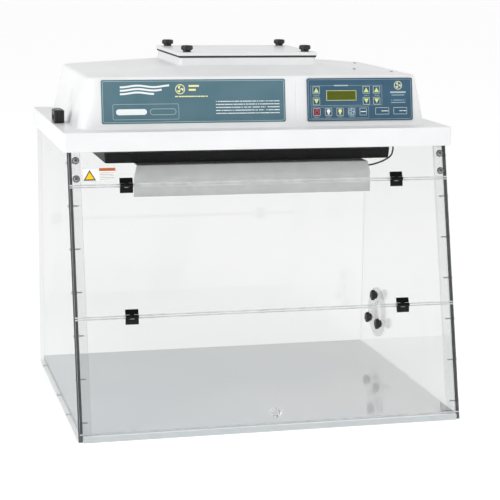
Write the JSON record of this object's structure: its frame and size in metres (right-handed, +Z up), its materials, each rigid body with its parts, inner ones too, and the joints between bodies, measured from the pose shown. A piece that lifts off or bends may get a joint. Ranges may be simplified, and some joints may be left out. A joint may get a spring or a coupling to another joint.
{
  "type": "fume hood",
  "caption": "Bench-top clear-walled fume workstation with a folding front, white blower housing, lamp, keypad and a side port.",
  "frame": {"origin": "middle of the underside of the base plate", "axes": "+X to the right of a user standing in front, +Y towards the back, +Z up"},
  "size_m": [0.83, 0.6763, 0.773],
  "materials": {
    "white_shell": "moulded white, satin gloss",
    "clear_acrylic": "clear cast acrylic, polished",
    "base_acrylic": "pale grey, mirror gloss",
    "black_plastic": "black moulded plastic",
    "pin_steel": "bright steel pin",
    "label_teal": "printed polyester overlay",
    "keypad_blue": "printed membrane keypad",
    "key_green": "printed membrane key",
    "key_red": "printed membrane key",
    "key_blue": "printed membrane key",
    "lcd_olive": "display behind a clear window",
    "gasket_rubber": "closed-cell foam rubber",
    "filter_media": "pleated filter paper",
    "sheet_aluminium": "bent sheet, satin",
    "lamp_glass": "coated lamp tube",
    "motor_steel": "plated steel"
  },
  "bodies": {
    "cabinet": {"base_plate": "base_acrylic", "back_panel": "clear_acrylic", "left_side_panel": "clear_acrylic", "right_side_panel": "clear_acrylic", "left_front_strip": "clear_acrylic", "right_front_strip": "clear_acrylic", "front_fixed_panel": "clear_acrylic", "blower_housing": "white_shell", "cover_gasket": "gasket_rubber", "front_label": "label_teal", "controller_plate": "keypad_blue", "lcd_window": "lcd_olive", "power_inlet": "black_plastic", "filter_tray": "black_plastic", "hepa_filter": "filter_media", "blower_motor": "motor_steel", "lamp_batten": "black_plastic", "white_lamp_tube": "lamp_glass", "uv_lamp_tube": "lamp_glass", "lamp_lead": "black_plastic", "lamp_shade": "sheet_aluminium", "upper_left_hinge_top_leaf": "black_plastic", "upper_left_hinge_pin": "pin_steel", "upper_right_hinge_top_leaf": "black_plastic", "upper_right_hinge_pin": "pin_steel"},
    "middle_door": {"middle_door_panel": "clear_acrylic", "upper_left_hinge_bottom_leaf": "black_plastic", "upper_right_hinge_bottom_leaf": "black_plastic", "lower_left_hinge_top_leaf": "black_plastic", "lower_left_hinge_pin": "pin_steel", "lower_right_hinge_top_leaf": "black_plastic", "lower_right_hinge_pin": "pin_steel"},
    "lower_door": {"lower_door_panel": "clear_acrylic", "door_knob": "clear_acrylic", "lower_left_hinge_bottom_leaf": "black_plastic", "lower_right_hinge_bottom_leaf": "black_plastic"},
    "filter_cover": {"filter_cover": "white_shell"},
    "port_cover": {"port_cover": "clear_acrylic"},
    "rocker": {"rocker_switch": "black_plastic"},
    "impeller": {"impeller": "motor_steel"},
    "front_left_cover_knob": {"front_left_cover_knob": "black_plastic"},
    "front_right_cover_knob": {"front_right_cover_knob": "black_plastic"},
    "back_left_cover_knob": {"back_left_cover_knob": "black_plastic"},
    "back_right_cover_knob": {"back_right_cover_knob": "black_plastic"},
    "top_port_knob": {"top_port_knob": "black_plastic"},
    "front_port_knob": {"front_port_knob": "black_plastic"},
    "back_port_knob": {"back_port_knob": "black_plastic"},
    "speed_up_key": {"speed_up_key": "key_green"},
    "speed_down_key": {"speed_down_key": "key_green"},
    "time_up_key": {"time_up_key": "key_green"},
    "time_down_key": {"time_down_key": "key_green"},
    "timer_up_key": {"timer_up_key": "key_green"},
    "timer_down_key": {"timer_down_key": "key_green"},
    "power_key": {"power_key": "key_red"},
    "lamp_key": {"lamp_key": "key_blue"},
    "uv_key": {"uv_key": "key_blue"},
    "fan_key": {"fan_key": "key_blue"},
    "mute_key": {"mute_key": "key_blue"},
    "start_key": {"start_key": "keypad_blue"},
    "stop_key": {"stop_key": "keypad_blue"}
  },
  "joints": [
    {"name": "middle_door_fold", "type": "hinge", "parent": "cabinet", "child": "middle_door", "pos_m": [0, -0.21045, 0.50111], "axis": [-1, 0, 0], "range_deg": [0, 110]},
    {"name": "lower_door_fold", "type": "hinge", "parent": "middle_door", "child": "lower_door", "pos_m": [0, -0.27469, 0.24211], "axis": [-1, 0, 0], "range_deg": [0, 172]},
    {"name": "filter_cover_lift", "type": "slide", "parent": "cabinet", "child": "filter_cover", "axis": [0, 0, 1], "range_m": [0, 0.15]},
    {"name": "port_cover_pull", "type": "slide", "parent": "cabinet", "child": "port_cover", "axis": [-1, 0, 0], "range_m": [0, 0.1]},
    {"name": "impeller_spin", "type": "hinge", "parent": "cabinet", "child": "impeller", "pos_m": [0, 0.0625, 0.62], "axis": [0, 0, 1], "continuous": true},
    {"name": "rocker_tilt", "type": "hinge", "parent": "cabinet", "child": "rocker", "pos_m": [-0.39975, -0.001, 0.6345], "axis": [-1, 0, 0], "range_deg": [0, 12]},
    {"name": "front_left_cover_knob_turn", "type": "hinge", "parent": "filter_cover", "child": "front_left_cover_knob", "pos_m": [-0.13, -0.043, 0.7582], "axis": [0, 0, 1], "continuous": true},
    {"name": "front_right_cover_knob_turn", "type": "hinge", "parent": "filter_cover", "child": "front_right_cover_knob", "pos_m": [0.13, -0.043, 0.7582], "axis": [0, 0, 1], "continuous": true},
    {"name": "back_left_cover_knob_turn", "type": "hinge", "parent": "filter_cover", "child": "back_left_cover_knob", "pos_m": [-0.13, 0.168, 0.7582], "axis": [0, 0, 1], "continuous": true},
    {"name": "back_right_cover_knob_turn", "type": "hinge", "parent": "filter_cover", "child": "back_right_cover_knob", "pos_m": [0.13, 0.168, 0.7582], "axis": [0, 0, 1], "continuous": true},
    {"name": "top_port_knob_turn", "type": "hinge", "parent": "port_cover", "child": "top_port_knob", "pos_m": [0.393, 0.202, 0.155], "axis": [-1, 0, 0], "continuous": true},
    {"name": "front_port_knob_turn", "type": "hinge", "parent": "port_cover", "child": "front_port_knob", "pos_m": [0.393, 0.16563, 0.092], "axis": [-1, 0, 0], "continuous": true},
    {"name": "back_port_knob_turn", "type": "hinge", "parent": "port_cover", "child": "back_port_knob", "pos_m": [0.393, 0.23837, 0.092], "axis": [-1, 0, 0], "continuous": true},
    {"name": "speed_up_key_press", "type": "slide", "parent": "cabinet", "child": "speed_up_key", "axis": [0, 0.9877, -0.1564], "range_m": [0, 0.0005], "stiffness_N_per_m": 1500},
    {"name": "speed_down_key_press", "type": "slide", "parent": "cabinet", "child": "speed_down_key", "axis": [0, 0.9877, -0.1564], "range_m": [0, 0.0005], "stiffness_N_per_m": 1500},
    {"name": "time_up_key_press", "type": "slide", "parent": "cabinet", "child": "time_up_key", "axis": [0, 0.9877, -0.1564], "range_m": [0, 0.0005], "stiffness_N_per_m": 1500},
    {"name": "time_down_key_press", "type": "slide", "parent": "cabinet", "child": "time_down_key", "axis": [0, 0.9877, -0.1564], "range_m": [0, 0.0005], "stiffness_N_per_m": 1500},
    {"name": "timer_up_key_press", "type": "slide", "parent": "cabinet", "child": "timer_up_key", "axis": [0, 0.9877, -0.1564], "range_m": [0, 0.0005], "stiffness_N_per_m": 1500},
    {"name": "timer_down_key_press", "type": "slide", "parent": "cabinet", "child": "timer_down_key", "axis": [0, 0.9877, -0.1564], "range_m": [0, 0.0005], "stiffness_N_per_m": 1500},
    {"name": "power_key_press", "type": "slide", "parent": "cabinet", "child": "power_key", "axis": [0, 0.9877, -0.1564], "range_m": [0, 0.0005], "stiffness_N_per_m": 1500},
    {"name": "lamp_key_press", "type": "slide", "parent": "cabinet", "child": "lamp_key", "axis": [0, 0.9877, -0.1564], "range_m": [0, 0.0005], "stiffness_N_per_m": 1500},
    {"name": "uv_key_press", "type": "slide", "parent": "cabinet", "child": "uv_key", "axis": [0, 0.9877, -0.1564], "range_m": [0, 0.0005], "stiffness_N_per_m": 1500},
    {"name": "fan_key_press", "type": "slide", "parent": "cabinet", "child": "fan_key", "axis": [0, 0.9877, -0.1564], "range_m": [0, 0.0005], "stiffness_N_per_m": 1500},
    {"name": "mute_key_press", "type": "slide", "parent": "cabinet", "child": "mute_key", "axis": [0, 0.9877, -0.1564], "range_m": [0, 0.0005], "stiffness_N_per_m": 1500},
    {"name": "start_key_press", "type": "slide", "parent": "cabinet", "child": "start_key", "axis": [0, 0.9877, -0.1564], "range_m": [0, 0.0005], "stiffness_N_per_m": 1500},
    {"name": "stop_key_press", "type": "slide", "parent": "cabinet", "child": "stop_key", "axis": [0, 0.9877, -0.1564], "range_m": [0, 0.0005], "stiffness_N_per_m": 1500}
  ]
}
